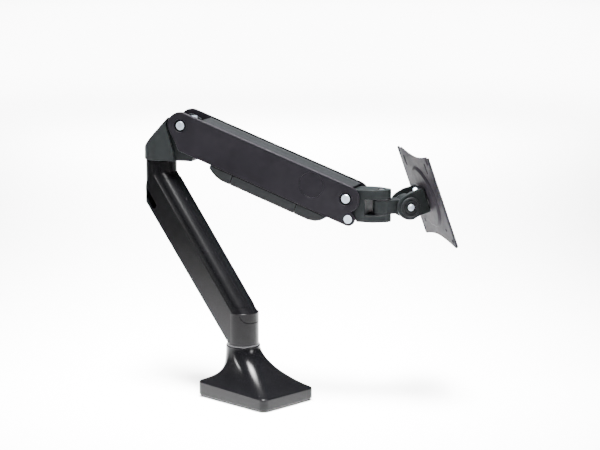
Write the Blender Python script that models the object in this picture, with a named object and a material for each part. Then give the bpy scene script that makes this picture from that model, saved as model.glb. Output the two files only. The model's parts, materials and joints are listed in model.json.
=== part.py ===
"""Gas-spring monitor arm: flared desk base, fixed-angle lower arm, lifting upper arm, tilting plate."""

import math

import bmesh
import bpy
from mathutils import Matrix

# Sizes in millimetres, angles in degrees.
BASE_X, BASE_Y, BASE_R = 58.2, 43.7, 8.0
PAD_TOP, PLINTH_TOP, PLINTH_RISE, NECK_TOP = 2.0, 15.5, 3.5, 63.2
NECK_X, NECK_R = -21.0, 21.0
POST_R, POST_TOP = 8.0, 98.0
BARREL_R, LOWER_BOTTOM, LOWER_TOP = 19.4, 64.8, 276.6
ELBOW_REACH = -145.0
KINK_LOW, KINK_HIGH = 104.0, 263.5
ARM_HALF = 19.1
BULGE = 18.9
COVER_HALF_ANGLE = 60.0
COVER_LOW, COVER_HIGH = 112.0, 255.0
BRACKET_Z, BRACKET_HALF, EAR_HALF = 277.8, 20.9, 16.2
PIVOT_X, PIVOT_Z = 34.8, 45.0
UPPER_TURN, UPPER_DROP, UPPER_LENGTH = 23.7, 20.0, 230.3
WALL_OUT, WALL_IN, WALL_TOP, WALL_BOTTOM = 21.0, 17.5, 17.0, -30.5
COVER_DEPTH = -43.5
PIN_R, PIN_HEAD_R, BORE_GAP = 4.0, 5.3, 0.3
SPRING_A, SPRING_B = 184.0, -1.0
SEAT_X, SEAT_Z = 11.0, -12.0
LINK_DROP = -13.0
SWIVEL_X, TONGUE_Z = 39.1, -9.8
HEAD_TURN, TILT_X, TILT_UP = 36.4, 31.5, 19.6
PLATE_X, PLATE_THICK, DISH_RAISE = 27.0, 3.0, 2.6
PLATE_HALF_W, PLATE_HALF_H = 55.0, 58.4
VESA_SMALL, VESA_LARGE = 37.5, 50.0

MATERIALS = {
    "gloss_black": ((0.012, 0.012, 0.014), 0.12, 0.0),
    "satin_casting": ((0.045, 0.047, 0.052), 0.45, 0.6),
    "satin_blue_grey": ((0.055, 0.055, 0.065), 0.42, 0.6),
    "matte_cover": ((0.03, 0.032, 0.034), 0.6, 0.0),
    "plate_steel": ((0.09, 0.088, 0.098), 0.5, 0.6),
    "zinc": ((0.62, 0.66, 0.72), 0.3, 1.0),
    "steel": ((0.35, 0.36, 0.38), 0.3, 1.0),
    "nylon": ((0.5, 0.5, 0.48), 0.5, 0.0),
    "rubber": ((0.02, 0.02, 0.02), 0.85, 0.0),
}


def clear_scene():
    for obj in list(bpy.data.objects):
        bpy.data.objects.remove(obj, do_unlink=True)


def material(name):
    found = bpy.data.materials.get(name)
    if found:
        return found
    colour, rough, metal = MATERIALS[name]
    made = bpy.data.materials.new(name)
    made.use_nodes = True
    shader = made.node_tree.nodes["Principled BSDF"]
    shader.inputs["Base Color"].default_value = (*colour, 1.0)
    shader.inputs["Roughness"].default_value = rough
    shader.inputs["Metallic"].default_value = metal
    return made


def frame(name, parent, place, turn=(0.0, 0.0, 0.0)):
    """An empty on a joint axis, in millimetres and degrees from its parent."""
    empty = bpy.data.objects.new(name, None)
    bpy.context.scene.collection.objects.link(empty)
    empty.parent = parent
    empty.location = [v * 0.001 for v in place]
    empty.rotation_euler = [math.radians(v) for v in turn]
    return empty


def solid(name, verts, faces):
    mesh = bpy.data.meshes.new(name)
    mesh.from_pydata([[c * 0.001 for c in v] for v in verts], [], faces)
    bm = bmesh.new()
    bm.from_mesh(mesh)
    bmesh.ops.recalc_face_normals(bm, faces=bm.faces)
    bm.to_mesh(mesh)
    bm.free()
    obj = bpy.data.objects.new(name, mesh)
    bpy.context.scene.collection.objects.link(obj)
    return obj


def loft(name, rings):
    """A closed skin through rings of equal length, capped at both ends."""
    count = len(rings[0])
    verts = [v for ring in rings for v in ring]
    faces = [list(range(count)), list(range(len(verts) - count, len(verts)))]
    for k in range(len(rings) - 1):
        for i in range(count):
            j = (i + 1) % count
            faces.append([k * count + i, k * count + j, (k + 1) * count + j, (k + 1) * count + i])
    return solid(name, verts, faces)


def side_prism(name, outline, y0, y1):
    """An outline in x and z, extruded along y."""
    return loft(name, [[(x, y, z) for x, z in outline] for y in (y0, y1)])


def plan_prism(name, outline, z0, z1):
    """An outline in x and y, extruded along z."""
    return loft(name, [[(x, y, z) for x, y in outline] for z in (z0, z1)])


def front_prism(name, outline, x0, x1):
    """An outline in y and z, extruded along x."""
    return loft(name, [[(x, y, z) for y, z in outline] for x in (x0, x1)])


def box(name, x, y, z):
    return plan_prism(name, [(x[0], y[0]), (x[1], y[0]), (x[1], y[1]), (x[0], y[1])], z[0], z[1])


def arc(cx, cy, r, start, end, steps):
    """Points on a circle from one angle to another, in degrees."""
    turns = [math.radians(start + (end - start) * k / steps) for k in range(steps + 1)]
    return [(cx + r * math.cos(t), cy + r * math.sin(t)) for t in turns]


def circle(cx, cy, r, steps=32):
    return arc(cx, cy, r, 0, 360 * (steps - 1) / steps, steps - 1)


def rounded(half_x, half_y, r, steps=4):
    corners = ((1, 1, 0), (-1, 1, 90), (-1, -1, 180), (1, -1, 270))
    points = []
    for sx, sy, start in corners:
        points += arc(sx * (half_x - r), sy * (half_y - r), r, start, start + 90, steps)
    return points


def turned(name, profile, steps=20, centre=(0.0, 0.0, 0.0), axis="z"):
    """Revolves (radius, height) points; a profile that touches radius 0 at both ends is solid."""
    rings = [[(r * math.cos(t), r * math.sin(t), h) for t in angles(steps)] for r, h in profile if r > 0]
    count = len(rings)
    verts = [v for ring in rings for v in ring]
    faces = []
    closed = profile[0][0] > 0
    for k in range(count if closed else count - 1):
        for i in range(steps):
            j = (i + 1) % steps
            m = (k + 1) % count
            faces.append([k * steps + i, k * steps + j, m * steps + j, m * steps + i])
    if not closed:
        faces += [list(range(steps)), list(range((count - 1) * steps, count * steps))]
    obj = solid(name, verts, faces)
    if axis == "y":
        obj.data.transform(Matrix.Rotation(math.radians(-90), 4, "X"))
    if axis == "x":
        obj.data.transform(Matrix.Rotation(math.radians(90), 4, "Y"))
    obj.data.transform(Matrix.Translation([v * 0.001 for v in centre]))
    return obj


def angles(steps):
    return [2 * math.pi * k / steps for k in range(steps)]


def rod(name, r, h0, h1, centre=(0.0, 0.0, 0.0), axis="z", steps=20):
    return turned(name, [(0, h0), (r, h0), (r, h1), (0, h1)], steps, centre, axis)


def ring(name, inner, outer, h0, h1, centre=(0.0, 0.0, 0.0), axis="z", steps=20):
    profile = [(inner, h0), (outer, h0), (outer, h1), (inner, h1)]
    return turned(name, profile, steps, centre, axis)


def combine(target, tools, operation):
    """Joins or cuts with exact booleans and keeps only the result."""
    for tool in tools:
        step = target.modifiers.new(tool.name, "BOOLEAN")
        step.operation = operation
        step.solver = "EXACT"
        step.object = tool
        bpy.context.view_layer.update()
        graph = bpy.context.evaluated_depsgraph_get()
        result = bpy.data.meshes.new_from_object(target.evaluated_get(graph))
        target.modifiers.clear()
        target.data = result
        bpy.data.objects.remove(tool, do_unlink=True)
    bm = bmesh.new()
    bm.from_mesh(target.data)
    bmesh.ops.remove_doubles(bm, verts=bm.verts, dist=0.000002)
    bmesh.ops.dissolve_degenerate(bm, edges=bm.edges, dist=0.000002)
    bm.to_mesh(target.data)
    bm.free()
    return target


def cut(target, *tools):
    return combine(target, tools, "DIFFERENCE")


def join(target, *tools):
    return combine(target, tools, "UNION")


def meet(target, *tools):
    return combine(target, tools, "INTERSECT")


def finish(obj, parent, look, smooth=True):
    obj.parent = parent
    obj.data.materials.clear()
    obj.data.materials.append(material(look))
    if smooth:
        obj.data.shade_smooth()
        obj.data.set_sharp_from_angle(angle=math.radians(32))
    return obj


def hexagon(r):
    return circle(0, 0, r, 6)


# Base


def tilt_up(x):
    """The plinth's top edge climbs a little from the front to the back."""
    return PLINTH_RISE * (BASE_X - x) / (2 * BASE_X)


def flare_ring(z):
    """The plinth's outline drawn in towards the round neck, sooner at the back than in front."""
    back, front = max(0.0, (46.0 - z) / 30.5) ** 2.8, max(0.0, (62.0 - z) / 46.5) ** 1.75
    outline = rounded(BASE_X - 1, BASE_Y - 1, BASE_R, 5)
    count = len(outline)
    points = []
    for k, (x, y) in enumerate(outline):
        t = 2 * math.pi * (k + 0.5) / count
        weight = back + (front - back) * (0.5 + 0.5 * math.cos(t))
        cx, cy = NECK_X + NECK_R * math.cos(t), NECK_R * math.sin(t)
        points.append((cx + (x - cx) * weight, cy + (y - cy) * weight, z + tilt_up(x) * weight))
    return points


def base_casting():
    rings = [[(x, y, PAD_TOP + 0.3) for x, y in rounded(BASE_X, BASE_Y, BASE_R, 5)]]
    rings.append([(x, y, PLINTH_TOP - 1 + tilt_up(x)) for x, y in rounded(BASE_X, BASE_Y, BASE_R, 5)])
    for z in (15.5, 17.5, 20.0, 23.0, 26.5, 31.0, 37.0, 45.0, 54.0, NECK_TOP):
        rings.append(flare_ring(z))
    body = loft("base_casting", rings)
    cut(body, plan_prism("t", rounded(54.0, 39.5, 6.0), 1.0, 5.9))
    cut(body, plan_prism("t", rounded(40.0, 27.0, 6.0), 5.0, 12.0))
    cut(body, rod("t", 4.5, 8.0, 32.0, (NECK_X, 0, 0)), rod("t", POST_R + 0.3, 24.0, 70.0, (NECK_X, 0, 0)))
    for x, y in base_screw_places():
        cut(body, rod("t", 2.3, 4.0, 13.0, (x, y, 0), steps=16))
    return body


def base_screw_places():
    return [(-46.5, -32.5), (46.5, 32.5)]


def base_screw(name, x, y):
    profile = [(0, 2.6), (3.8, 2.6), (2.0, 4.4), (2.0, 12.0), (0, 12.0)]
    return turned(name, profile, 16, (x, y, 0))


def base_plate():
    body = plan_prism("base_plate", rounded(53.7, 39.2, 5.7), 2.6, 5.6)
    for x, y in base_screw_places():
        cut(body, turned("t", [(0, 2.0), (4.7, 2.0), (2.3, 4.4), (2.3, 7.0), (0, 7.0)], 16, (x, y, 0)))
    cut(body, rod("t", 5.0, 0.0, 8.0, (20, 0, 0), steps=18))
    return body


def base_pad():
    body = plan_prism("base_pad", rounded(BASE_X - 1.5, BASE_Y - 1.5, 6.5), 0.0, PAD_TOP)
    return cut(body, rod("t", 7.0, -2.0, 5.0, (20, 0, 0), steps=18))


def pivot_post():
    groove = [(POST_R, 84.5), (6.5, 84.5), (6.5, 77.5), (POST_R, 77.5)]
    profile = [(0, 24.5), (POST_R, 24.5)] + groove[::-1] + [(POST_R, POST_TOP - 1), (7.0, POST_TOP), (0, POST_TOP)]
    body = turned("pivot_post", profile, 32, (NECK_X, 0, 0))
    return cut(body, rod("t", 4.3, 20.0, 48.0, (NECK_X, 0, 0), steps=18))


def post_bolt():
    body = plan_prism("post_bolt", hexagon(7.5), 6.3, 11.7)
    join(body, rod("t", 4.0, 9.0, 46.0, steps=18))
    body.data.transform(Matrix.Translation((NECK_X * 0.001, 0, 0)))
    return body


# Lower arm, drawn from the neck axis


def centre_line(z):
    return ELBOW_REACH * (z - KINK_LOW) / (KINK_HIGH - KINK_LOW)


def sheared(name, section, z0, z1):
    """A level section in x and y carried up the arm's slope."""
    low = [(x + centre_line(z0), y, z0) for x, y in section]
    high = [(x + centre_line(z1), y, z1) for x, y in section]
    return loft(name, [low, high])


def front_arc(r_y, r_x, half, steps):
    points = arc(0, 0, 1, -half, half, steps)
    return [(r_x * c, r_y * s) for c, s in points]


def lower_arm_casting():
    web = [(0, 66.7), (-7.6, 66.7), (-154.4, 223.7), (-154.4, 246.0), (-145, KINK_HIGH), (0, KINK_LOW)]
    body = side_prism("lower_arm_casting", web, -ARM_HALF, ARM_HALF)
    half_round = front_arc(ARM_HALF, BULGE, 90, 20)
    join(body, sheared("t", [(-3, -ARM_HALF + 0.05)] + half_round[1:-1] + [(-3, ARM_HALF - 0.05)], 104.3, 263.2))
    join(body, rod("t", BARREL_R, LOWER_BOTTOM, 104.6, steps=32))
    join(body, rod("t", BARREL_R, 246.0, LOWER_TOP, (ELBOW_REACH, 0, 0), steps=32))
    cut(body, lower_recess(), sheared("t", [(-6, -12), (30, -12), (30, 12), (-6, 12)], 124.0, 249.0))
    cut(body, rod("t", 11.0, 60.0, 99.0), rod("t", 8.0, 229.0, 280.0, (ELBOW_REACH, 0, 0)))
    cut(body, box("t", (-153.25, -126), (-12, 12), (229, 243.2)), side_prism("t", cable_mouth(), -22, -9))
    cut(body, rod("t", 3.3, 5.0, 25.0, (0, 0, 81.0), "y", 16))
    return body


def cable_mouth():
    return [(-153.0, 243.0), (-134.0, 221.5), (-136.5, 217.0), (-142.0, 216.5), (-153.0, 229.7)]


def lower_recess():
    outer = front_arc(30, 30, COVER_HALF_ANGLE + 1.2, 12)
    inner = front_arc(ARM_HALF - 2.9, BULGE - 2.9, COVER_HALF_ANGLE + 1.2, 12)
    return sheared("t", outer + inner[::-1], COVER_LOW - 0.4, COVER_HIGH + 0.4)


def lower_arm_cover():
    outer = front_arc(ARM_HALF, BULGE, COVER_HALF_ANGLE, 20)
    inner = front_arc(ARM_HALF - 2.5, BULGE - 2.5, COVER_HALF_ANGLE, 20)
    return sheared("lower_arm_cover", outer + inner[::-1], COVER_LOW, COVER_HIGH)


def set_screw():
    body = rod("lower_set_screw", 3.0, 7.0, 18.6, (0, 0, 81.0), "y", 16)
    return cut(body, rod("t", 1.6, 15.5, 20.0, (0, 0, 81.0), "y", 6))


# Elbow, drawn from the elbow axis at the bracket's underside


def elbow_bracket():
    px, pz = PIVOT_X, PIVOT_Z
    hollow = arc(px, pz, 19.3, 151, 205, 6)
    side = [(-30, 0), (-30, 2.7), (-22, 11.5)] + hollow + [(px - 11.5, pz - 29), (26.3, 0)]
    body = side_prism("elbow_bracket", side, -BRACKET_HALF, BRACKET_HALF)
    plan = arc(0, 0, BRACKET_HALF, 90, 270, 20) + [(60, -BRACKET_HALF), (60, BRACKET_HALF)]
    meet(body, plan_prism("t", plan, -5, 80))
    ear = [(5, 0.0), (48, 0.0), (49, 1), (49, 5.5), (46, 9), (44, 24), (49, 38), (49, 50)]
    ear += arc(px, pz, 11, 55, 150, 8) + [(10, 38), (5, 30)]
    join(body, side_prism("t", ear, -EAR_HALF, EAR_HALF))
    slot = [(-11, 7), (-11, 17.6), (20.5, 52.2), (30, 75), (70, 75), (70, 7)]
    cut(body, side_prism("t", slot, -12.4, 12.4))
    bridge = [(px + 5.5, 44.5), (48.8, 44.5), (48.8, 49.9), (px + 5.5, 49.9)]
    join(body, side_prism("t", bridge, -13.5, 13.5))
    cut(body, rod("t", 3.3, 40, 60, (44.3, 0, 0), steps=20), rod("t", 5.3, -5, 10))
    cut(body, rod("t", PIN_R + 0.3, -25, 25, (px, 0, pz), "y"))
    cut(body, rod("t", 2.8, -25, 25, (px, 0, pz + LINK_DROP), "y", 18))
    return body


def elbow_bolt():
    body = rod("elbow_bolt", 8.0, 7.3, 12.3, steps=20)
    join(body, rod("t", 5.0, -45.0, 9.0, steps=20))
    return cut(body, plan_prism("t", hexagon(3.5), 9.5, 14.0))


def elbow_nut():
    body = plan_prism("elbow_nut", hexagon(7.9), -43.4, -35.2)
    return cut(body, rod("t", 5.3, -50, -30, steps=20))


def tension_screw():
    body = rod("tension_screw", 5.0, 50.2, 55.2, (44.3, 0, 0), steps=18)
    join(body, rod("t", 3.0, 24.0, 52.0, (44.3, 0, 0), steps=18))
    socket = plan_prism("t", hexagon(2.6), 52.4, 58.0)
    socket.data.transform(Matrix.Translation((0.0443, 0, 0)))
    return cut(body, socket)


def tension_block():
    x, z = PIVOT_X + SEAT_X, PIVOT_Z + SEAT_Z
    body = box("tension_block", (40.4, x), (-8.4, 8.4), (z - 4, z + 4))
    join(body, rod("t", 5.0, -8.4, 8.4, (x, 0, z), "y", 18))
    return cut(body, rod("t", 3.3, 10, 60, (44.3, 0, 0), steps=20))


# Upper arm, drawn from the lift pivot along the line of pivots


def wall_outline():
    ax = UPPER_LENGTH
    points = arc(0, 0, WALL_TOP, 90, 212, 10)
    points += [(0.5, -22.0), (5.6, -28.2), (8.5, WALL_BOTTOM)]
    points += arc(ax + 11.2, -22.2, 8.3, -90, 38, 7)
    points += arc(ax, 0, WALL_TOP, -46, 90, 11)
    return points


def upper_arm_channel():
    body = side_prism("upper_arm_channel", wall_outline(), -WALL_OUT, WALL_OUT)
    cut(body, box("t", (-40, 280), (-WALL_IN, WALL_IN), (-50, 10.0)))
    cut(body, box("t", (-40, 280), (-WALL_IN, WALL_IN), (12.6, 30)))
    cut(body, box("t", (-40, 20.0), (-WALL_IN, WALL_IN), (5, 20)), box("t", (214, 280), (-WALL_IN, WALL_IN), (5, 20)))
    for a, b, bore, sink, depth in wall_bores():
        cut(body, rod("t", bore, -30, 30, (a, 0, b), "y", 18))
        cut(body, rod("t", sink, WALL_OUT - depth, 30, (a, 0, b), "y", 18))
        cut(body, rod("t", sink, -30, depth - WALL_OUT, (a, 0, b), "y", 18))
    return body


def wall_bores():
    pin = (PIN_R + 0.3, 8.3, 2.0)
    stud = (2.8, 5.4, 2.3)
    cap = (3.3, 15.7, 1.2)
    return [
        (0, 0, *pin),
        (UPPER_LENGTH, 0, *pin),
        (UPPER_LENGTH + 11.2, -22.2, *stud),
        (SPRING_A, SPRING_B, *cap),
    ]


def upper_top_cover():
    outline = [(22, 12.9), (222, 12.9), (232, 14.8), (232, 15.6), (22, 15.6)]
    return side_prism("upper_top_cover", outline, -17.1, 17.1)


def cable_cover(name, outline, tabs):
    """A clip-on trough under the arm, with two pairs of tabs inside the walls."""
    body = side_prism(name, outline, -20.2, 20.2)
    low = min(b for _, b in outline)
    start, end = outline[0][0], outline[-1][0]
    inner = [(55, -25), (55.4, -33.8), (60, -36.9), (66, -39.7), (73.5, low + 2), (end - 2, low + 2), (end - 2, -25)]
    if start > 60:
        inner = [(start - 5, -25), (start - 5, low + 2), (end + 5, low + 2), (end + 5, -25)]
    if start > 170:
        inner = [(start - 5, -25), (start - 5, low + 2), (end - 22, low + 2), (end - 7, low + 8), (end - 3, -25)]
    cut(body, side_prism("t", inner, -18.2, 18.2))
    for a in tabs:
        join(body, box("t", (a - 5, a + 5), (15.3, 18.6), (-36.4, -33.2)), box("t", (a - 5, a + 5), (15.3, 17.1), (-34.6, -25.2)))
        join(body, box("t", (a - 5, a + 5), (-18.6, -15.3), (-36.4, -33.2)), box("t", (a - 5, a + 5), (-17.1, -15.3), (-34.6, -25.2)))
    return body


def cable_covers():
    top = WALL_BOTTOM - 0.3
    rear = [(53.0, top), (53.5, -35.0), (59, -38.6), (65, -41.5), (73, COVER_DEPTH), (85.1, COVER_DEPTH), (85.1, top)]
    middle = [(85.5, top), (85.5, COVER_DEPTH), (174.1, COVER_DEPTH), (174.1, top)]
    front = [(174.5, top), (174.5, COVER_DEPTH), (194, COVER_DEPTH), (203, -41.5), (210, -37.5), (214.5, top)]
    return [
        cable_cover("cable_cover_rear", rear, (74,)),
        cable_cover("cable_cover_middle", middle, (100, 160)),
        cable_cover("cable_cover_front", front, (186,)),
    ]


def pivot_pin(name, a):
    """Headed pin with a reduced end for its nut."""
    profile = [(0, -21.2), (PIN_HEAD_R - 0.5, -21.2), (PIN_HEAD_R, -20.7), (PIN_HEAD_R, -19.3), (PIN_R, -19.3)]
    profile += [(PIN_R, 18.6), (2.5, 18.6), (2.5, 20.8), (0, 20.8)]
    body = turned(name, profile, 18, (a, 0, 0), "y")
    return cut(body, rod("t", 2.3, -25, -20.0, (a, 0, 0), "y", 6))


def pin_nut(name, a):
    profile = [(2.8, 19.3), (PIN_HEAD_R, 19.3), (PIN_HEAD_R, 20.7), (4.8, 21.2), (2.8, 21.2)]
    return turned(name, profile, 18, (a, 0, 0), "y")


def stud(name, side):
    profile = [(0, 17.7), (2.5, 17.7), (2.5, 19.0), (5.1, 19.0), (5.1, 20.8), (4.7, 21.2), (0, 21.2)]
    body = turned(name, profile, 16, (0, 0, 0), "y")
    if side < 0:
        body.data.transform(Matrix.Rotation(math.pi, 4, "Z"))
    body.data.transform(Matrix.Translation(((UPPER_LENGTH + 11.2) * 0.001, 0, -0.0222)))
    return body


def side_cap(name, side):
    heights = sorted((side * 20.1, side * 21.05))
    return rod(name, 15.4, heights[0], heights[1], (SPRING_A, 0, SPRING_B), "y", 28)


# Gas spring, drawn from its front pin back towards the elbow


def spring_line():
    """Direction and length from the front pin to the seat, in the upper arm's frame at rest."""
    drop = math.radians(UPPER_DROP)
    a = SEAT_X * math.cos(drop) - SEAT_Z * math.sin(drop)
    b = SEAT_X * math.sin(drop) + SEAT_Z * math.cos(drop)
    da, db = a - SPRING_A, b - SPRING_B
    return math.degrees(math.atan2(-db, -da)), math.hypot(da, db)


def gas_cylinder():
    body = turned("gas_spring_cylinder", [(0, -112), (7.6, -112), (8.4, -111), (8.4, -12), (0, -12)], 20, axis="x")
    join(body, box("t", (-14, 0), (-5, 5), (-5.5, 5.5)), rod("t", 6.5, -5, 5, axis="y", steps=18))
    cut(body, rod("t", 3.4, -10, 10, axis="y", steps=18), rod("t", 4.3, -120, -30, axis="x", steps=18))
    return body


def gas_rod(length):
    body = rod("gas_spring_rod", 4.0, 14.0 - length, -60.0, axis="x", steps=18)
    seat = 8.5 - length
    return join(body, box("t", (seat, seat + 6.5), (-6.5, 6.5), (-6, 6)))


def parallel_link():
    ends = arc(0, 0, 4.7, 90, 270, 10) + arc(UPPER_LENGTH, 0, 4.7, -90, 90, 10)
    body = side_prism("parallel_link", ends, 9.3, 11.6)
    for a in (0, UPPER_LENGTH):
        cut(body, rod("t", 2.8, 0, 20, (a, 0, 0), "y", 18))
    return body


# Wrist, drawn level from the wrist pivot


def wrist_bracket():
    side = arc(0, 0, 12.2, 60, 250, 16) + [(13, -28), (52, -28), (52, 11.5), (18, 11.5)]
    body = side_prism("wrist_bracket", side, -EAR_HALF, EAR_HALF)
    plan = [(-20, EAR_HALF), (-20, -EAR_HALF), (32, -EAR_HALF)] + arc(SWIVEL_X, 0, 11.5, -52, 52, 14) + [(32, EAR_HALF)]
    meet(body, plan_prism("t", plan, -40, 30))
    cut(body, box("t", (23, 60), (-20, 20), (-19.5, -0.1)))
    cut(body, side_prism("t", [(-20, 7), (-20, -30), (14, -30), (14, -22), (9, -4), (-4, -3)], 8.6, 12.3))
    cut(body, rod("t", PIN_R + 0.3, -25, 25, axis="y"), rod("t", 2.8, 5.0, 25, (0, 0, LINK_DROP), "y", 18))
    cut(body, rod("t", 4.3, -40, 30, (SWIVEL_X, 0, 0)))
    return body


def swivel_pin():
    profile = [(0, -27.6), (4.0, -27.6), (4.0, 10.4), (3.4, 11.0), (0, 11.0)]
    return turned("swivel_pin", profile, 24, (SWIVEL_X, 0, 0))


# Head, drawn from the swivel axis towards the plate


def head_block():
    z = TONGUE_Z
    body = rod("head_block", 11.0, z - 8.5, z + 8.5)
    join(body, box("t", (0, TILT_X), (-9.4, 9.4), (z - 8.4, z + 8.4)))
    join(body, rod("t", 13.0, -9.4, 9.4, (TILT_X, 0, z), "y"))
    cut(body, rod("t", 4.3, -30, 10), rod("t", 4.3, -12, 12, (TILT_X, 0, z), "y"))
    return body


def tilt_bolt():
    profile = [(0, -20.6), (3.7, -20.6), (4.2, -20.1), (4.2, -18.7), (4.0, -18.7), (4.0, 22.0), (0, 22.0)]
    body = turned("tilt_bolt", profile, 24, (TILT_X, 0, TONGUE_Z), "y")
    return cut(body, rod("t", 2.3, -25, -19.0, (TILT_X, 0, TONGUE_Z), "y", 6))


def tilt_nut():
    body = rod("tilt_nut", 7.0, 17.2, 21.6, (TILT_X, 0, TONGUE_Z), "y", 6)
    return cut(body, rod("t", 4.3, 10, 30, (TILT_X, 0, TONGUE_Z), "y", 18))


def tilt_yoke():
    arm = arc(0, 0, 15.8, 95, 268, 16) + [(8, -14.8), (22.8, -14.8), (22.8, 15.9), (6, 17.0)]
    body = side_prism("tilt_yoke", arm, -16.1, 16.1)
    cut(body, side_prism("t", [(-30, -30), (18.6, -30), (18.6, 30), (-30, 30)], -11.6, 11.6))
    cut(body, rod("t", 4.3, -30, 30, axis="y", steps=18), rod("t", 4.3, 10, 30, axis="x", steps=18))
    return cut(body, rod("t", 2.3, 10, 30, (0, 0, 12.2), "x", 16))


def tilt_cap():
    profile = [(4.3, -16.4), (12.2, -16.4), (12.2, -17.3), (11.2, -18.3), (9.4, -18.3), (9.0, -17.7), (7.4, -17.7)]
    profile += [(7.0, -18.4), (4.3, -18.4)]
    return turned("tilt_cap", profile, 24, (0, 0, 0), "y")


def hub_bolt():
    body = front_prism("hub_bolt", circle(0, 0, 6.2, 24), 15.2, 18.3)
    join(body, rod("t", 4.0, 17.0, 29.2, axis="x", steps=18))
    return cut(body, rod("t", 2.6, 10.0, 17.0, axis="x", steps=6))


def lock_screw():
    profile = [(0, 14.2), (3.4, 14.2), (4.0, 14.8), (4.0, 18.3), (2.0, 18.3), (2.0, 22.4), (0, 22.4)]
    body = turned("rotation_lock_screw", profile, 20, (0, 0, 12.2), "x")
    return cut(body, rod("t", 1.8, 10, 16.0, (0, 0, 12.2), "x", 6))


# Plate, drawn from the tilt axis along the plate's normal


def plate_outline():
    w, h = PLATE_HALF_W, PLATE_HALF_H
    right = [(w, -h + 2), (w, h - 1), (w - 1, h), (53.0, h), (52.6, 51.0)]
    right += arc(VESA_LARGE, 50.6, 2.6, 0, -180, 6)
    right += [(47.4, 51.0), (47.0, h - 0.5), (45.0, h)]
    top = [(44 - 4.4 * k, 52.2 + 6.0 * abs(1 - k / 10) ** 1.7) for k in range(1, 20)]
    left = [(-y, z) for y, z in right[::-1]]
    bottom = [(-50 + 5 * k, -51.0 - 7.2 * abs(1 - k / 10) ** 1.7) for k in range(0, 21)]
    return right + top + left + [(-w + 2, -h)] + bottom + [(w - 2, -h)]


def vesa_plate():
    x0, x1 = PLATE_X, PLATE_X + PLATE_THICK
    body = front_prism("vesa_plate", plate_outline(), x0, x1)
    dish = [(0, x0 - DISH_RAISE), (36.5, x0 - DISH_RAISE), (40.0, x0 + 0.5), (0, x0 + 0.5)]
    join(body, turned("t", dish, 36, axis="x"))
    hollow = [(0, x0 - DISH_RAISE + 2.4), (34.6, x0 - DISH_RAISE + 2.4), (38.0, x1 + 1), (0, x1 + 1)]
    cut(body, turned("t", hollow, 36, axis="x"))
    for sy in (-1, 1):
        slot = arc(sy * VESA_SMALL, 47.6, 2.5, 0, 180, 6) + arc(sy * VESA_SMALL, 38.0, 2.5, 180, 360, 6)
        cut(body, front_prism("t", slot, 15, 40))
        cut(body, rod("t", 2.4, 15, 40, (0, sy * VESA_SMALL, -VESA_SMALL), "x", 16))
        cut(body, rod("t", 2.4, 15, 40, (0, sy * VESA_LARGE, -VESA_LARGE), "x", 16))
    return cut(body, rod("t", 4.3, 10, 40, axis="x", steps=18))


def hub_nut():
    body = front_prism("hub_nut", hexagon(7.2), 27.2, 29.6)
    return cut(body, rod("t", 4.3, 20, 40, axis="x", steps=18))


# Assembly


def build_base():
    finish(base_casting(), None, "gloss_black")
    finish(base_plate(), None, "steel")
    finish(base_pad(), None, "rubber")
    finish(pivot_post(), None, "steel")
    finish(post_bolt(), None, "zinc")
    for k, (x, y) in enumerate(base_screw_places()):
        finish(base_screw(f"base_screw_{k + 1}", x, y), None, "zinc")


def build_lower(at):
    finish(lower_arm_casting(), at, "gloss_black")
    finish(lower_arm_cover(), at, "gloss_black")
    finish(ring("neck_washer", 11.5, 20.3, 63.5, 64.5, steps=32), at, "nylon")
    finish(ring("swivel_bush_low", 8.3, 10.7, 65.0, 75.5), at, "nylon")
    finish(ring("swivel_bush_high", 8.3, 10.7, 86.5, 97.5), at, "nylon")
    finish(set_screw(), at, "zinc")
    place = (ELBOW_REACH, 0, 0)
    finish(ring("elbow_bush", 5.3, 7.7, 245.0, 276.4, place), at, "nylon")
    finish(ring("elbow_washer", 9.0, 18.6, 276.9, 277.5, place, steps=32), at, "nylon")


def build_elbow(at):
    finish(elbow_bracket(), at, "satin_casting")
    finish(elbow_bolt(), at, "zinc")
    finish(elbow_nut(), at, "zinc")
    finish(tension_screw(), at, "zinc")
    finish(tension_block(), at, "steel")
    body = rod("link_pin_rear", 2.5, -15.8, 15.8, (PIVOT_X, 0, PIVOT_Z + LINK_DROP), "y", 18)
    finish(body, at, "steel")


def build_upper(at):
    finish(upper_arm_channel(), at, "satin_blue_grey")
    finish(upper_top_cover(), at, "matte_cover", False)
    for cover in cable_covers():
        finish(cover, at, "matte_cover")
    for label, a in (("lift", 0.0), ("wrist", UPPER_LENGTH)):
        finish(pivot_pin(f"{label}_pin", a), at, "zinc")
        finish(pin_nut(f"{label}_pin_nut", a), at, "zinc")
        finish(ring(f"{label}_washer_near", 4.3, 9.0, -17.2, -16.5, (a, 0, 0), "y", 18), at, "nylon")
        finish(ring(f"{label}_washer_far", 4.3, 9.0, 16.5, 17.2, (a, 0, 0), "y", 18), at, "nylon")
    for label, side in (("near", -1), ("far", 1)):
        finish(stud(f"wall_stud_{label}", side), at, "zinc")
        finish(side_cap(f"side_cap_{label}", side), at, "satin_blue_grey")
    finish(rod("spring_pin", 3.0, -19.5, 19.5, (SPRING_A, 0, SPRING_B), "y", 18), at, "steel")


def build_wrist(at):
    finish(wrist_bracket(), at, "satin_casting")
    finish(swivel_pin(), at, "steel")
    finish(rod("link_pin_front", 2.5, 5.4, 15.8, (0, 0, LINK_DROP), "y", 18), at, "steel")
    finish(ring("swivel_washer_low", 4.3, 10.5, -19.2, -18.6, (SWIVEL_X, 0, 0), steps=20), at, "nylon")
    finish(ring("swivel_washer_high", 4.3, 10.5, -1.0, -0.4, (SWIVEL_X, 0, 0), steps=20), at, "nylon")


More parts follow.
